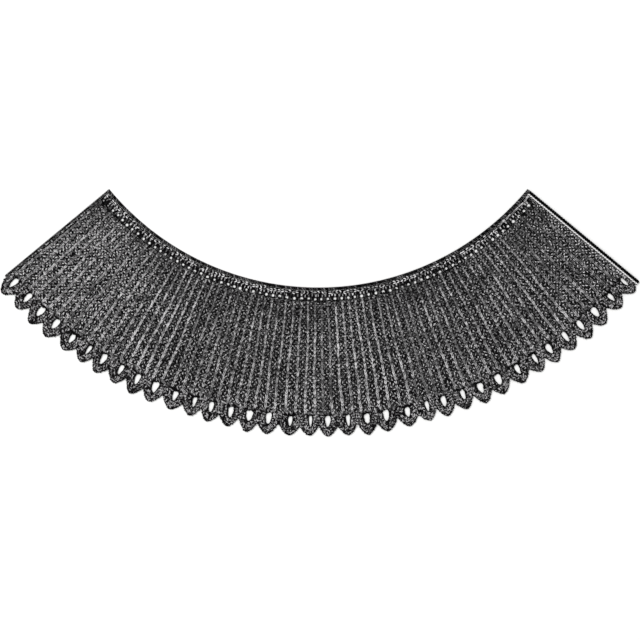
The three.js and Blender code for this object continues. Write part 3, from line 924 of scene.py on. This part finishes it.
# Overcast stitches that sew the edging to the body
SEAM_STITCHES = 460
SEAM_STITCH = {"length": 0.0026, "width": 0.0011, "thickness": 0.0012, "dip": 0.0003}
SEAM_STITCH_HEIGHT = EDGING_THICKNESS + 0.0004
SEAM_UNEVEN = 0.0003
SEAM_TILT = (60, 20)
SEAM_SHADES = (0.0, 0.98)
centre, along, outwards = arc_row(HEM_SEAM_RADIUS, SEAM_STITCHES, SEAM_STITCH_HEIGHT, SEAM_UNEVEN)
tilt = np.radians(edging_random.normal(*SEAM_TILT, (SEAM_STITCHES, 1)))
direction = turned(along, outwards, tilt)
seam = spindles(centre, direction, upwards(along), **SEAM_STITCH)
edging_strands.append(strands(seam, edging_random.uniform(*SEAM_SHADES, len(seam))))
edging_stitches = yarn_piece("edging_stitches", edging_strands, edging_yarn)


# Front edges
# A narrow dark cord binds the left front. The right front ends in a heavier black cord, with one
# row of pale chain stitches inside it.
FRONT_CORD_STEPS = 60
# Painted shade on a front cord's core, seen between its stitches
FRONT_CORE_SHADE = 0.15
FRONT_LEG_SLANT = np.radians(20)
# A leg's length over its stitch's, and its thickness over the cord's width
FRONT_LEG_STRETCH = 1.35
FRONT_LEG_THICKNESS = 0.45
LEFT_FRONT = {"side": -1, "end_radius": LEFT_CORD_END_RADIUS}
RIGHT_FRONT = {"side": 1, "end_radius": RIGHT_CORD_END_RADIUS}
front_random = np.random.default_rng(53)


def front_line(side, inset, end_radius, count):
    """Points down a front, each inset from its outer line, and the directions along it and inwards."""
    start_radius = NECK_RADIUS + NECK_CORD_WIDTH + SEAM_GAP
    radius = start_radius + (end_radius - start_radius) * np.linspace(0, 1, count)
    angle = side * FRONT_ANGLE
    along = np.array([np.sin(angle), -np.cos(angle), 0.0])
    inwards = -side * np.array([np.cos(angle), np.sin(angle), 0.0])
    return on_fan(radius, angle) + inset * inwards, along, inwards


def front_cord(name, material, slot, legs, inset, width, height, side, end_radius):
    """A cord down one front: the neck cord's section carried along a straight line, and a row of
    V-shaped stitches on it. A leg's place off the row and its width are shares of the cord's width."""
    section = CORD_SECTION if side < 0 else CORD_SECTION[::-1]
    across, rise = section.T[..., None]
    lines = front_line(side, inset + across[..., None] * width, end_radius, FRONT_CORD_STEPS)[0]
    lines[..., 2] = rise * height
    points, faces = closed_cloth(np.swapaxes(lines, 0, 1))
    core = add_piece(name + "_core", points, faces, material, FRONT_CORE_SHADE)
    middle = inset + width / 2 + legs["shift"]
    line, along, inwards = front_line(side, middle, end_radius, legs["count"] + 1)
    centres = (line[1:] + line[:-1]) / 2 + [0, 0, height]
    along, inwards = (np.broadcast_to(v, centres.shape) for v in (along, inwards))
    leg_sizes = {
        "half_gap": legs["place"] * width,
        "length": FRONT_LEG_STRETCH * (end_radius - NECK_RADIUS) / legs["count"],
        "width": legs["width"] * width,
        "thickness": FRONT_LEG_THICKNESS * width,
    }
    stitches = v_stitches(centres, along, inwards, slant=FRONT_LEG_SLANT, **leg_sizes)
    stitches = strands(stitches, front_random.uniform(*legs["shade"], len(stitches)))
    yarn_piece(name + "_stitches", [stitches], material)
    return core


left_legs = {"count": 55, "place": 0.27, "width": 0.5, "shift": 0.0002, "shade": (0.1, 1.15)}
left_cord = {"inset": 0, "width": LEFT_CORD_WIDTH, "height": 0.0017}
left_core = front_cord("left_front", cord_wool, "dark_cord", left_legs, **left_cord, **LEFT_FRONT)
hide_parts("left_front_edge")

black_wool = wool("black_cord_yarn", dark=(0.002, 0.002, 0.0022), light=(0.03, 0.029, 0.03))
black_legs = {"count": 52, "place": 0.32, "width": 0.6, "shift": 0.0, "shade": (0.0, 0.4)}
black_cord = {"inset": 0, "width": RIGHT_CORD_WIDTH, "height": 0.0020}
black_core = front_cord("right_front", black_wool, "black_cord", black_legs, **black_cord, **RIGHT_FRONT)
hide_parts("right_front_cord")

# Shades of over 1 keep these stitches pale right through. The yarn's near-black dark end is painted shade,
# on the chain's core and the stitches' undersides.
pale_wool = wool("pale_chain_yarn", dark=(0.015, 0.0145, 0.015), light=(0.95, 0.94, 0.94))
pale_legs = {"count": 50, "place": 0.17, "width": 0.5, "shift": -0.00045, "shade": (2.0, 2.5)}
pale_chain = {"inset": RIGHT_CORD_WIDTH + SEAM_GAP, "width": RIGHT_CHAIN_WIDTH, "height": 0.0017}
pale_core = front_cord("right_chain", pale_wool, "pale_chain", pale_legs, **pale_chain, **RIGHT_FRONT)
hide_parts("right_front_chain")

# Surface, light and camera
# A plain pale surface under soft light from a large window to the left, seen from straight above.
SURFACE_SIZE = 6.0
ROOM_LIGHT = 0.75
WINDOW_PLACE = (-0.9, 0.7, 2.0)
WINDOW_SIZE = 1.2
WINDOW_POWER = 30
PHOTO_SIDE = 640
METRES_PER_PIXEL = 0.00083
ARC_CENTRE_PIXEL = (318.3, 16.2)
LENS = 100
SENSOR = 36

bpy.ops.mesh.primitive_plane_add(size=SURFACE_SIZE, location=(0, 0, 0))
surface = bpy.context.object
surface.name = "pale_surface"
surface_material = bpy.data.materials.new("pale_surface")
surface_material.use_nodes = True
surface_shader = surface_material.node_tree.nodes["Principled BSDF"]
set_sockets(surface_shader, {"Base Color": (0.93, 0.93, 0.925, 1), "Roughness": 0.9})
surface.data.materials.append(surface_material)

world = bpy.data.worlds.new("soft_room")
world.use_nodes = True
set_sockets(world.node_tree.nodes["Background"], {"Color": (1, 1, 1, 1), "Strength": ROOM_LIGHT})
bpy.context.scene.world = world

# The window is a square area light that faces the collar's middle
light = bpy.data.lights.new("window", "AREA")
light.size = WINDOW_SIZE
light.energy = WINDOW_POWER
window = bpy.data.objects.new("window", light)
window.location = WINDOW_PLACE
towards_collar = -window.location
window.rotation_euler = towards_collar.to_track_quat("-Z", "Y").to_euler()
bpy.context.scene.collection.objects.link(window)

camera_data = bpy.data.cameras.new("camera")
camera_data.lens = LENS
camera_data.sensor_width = SENSOR
camera = bpy.data.objects.new("camera", camera_data)
view_width = PHOTO_SIDE * METRES_PER_PIXEL
camera_x = ARC_CENTRE_X + (PHOTO_SIDE / 2 - ARC_CENTRE_PIXEL[0]) * METRES_PER_PIXEL
camera_y = ARC_CENTRE_Y - (PHOTO_SIDE / 2 - ARC_CENTRE_PIXEL[1]) * METRES_PER_PIXEL
camera.location = (camera_x, camera_y, view_width * LENS / SENSOR)
bpy.context.scene.collection.objects.link(camera)
bpy.context.scene.camera = camera
bpy.context.scene.view_settings.view_transform = "Standard"
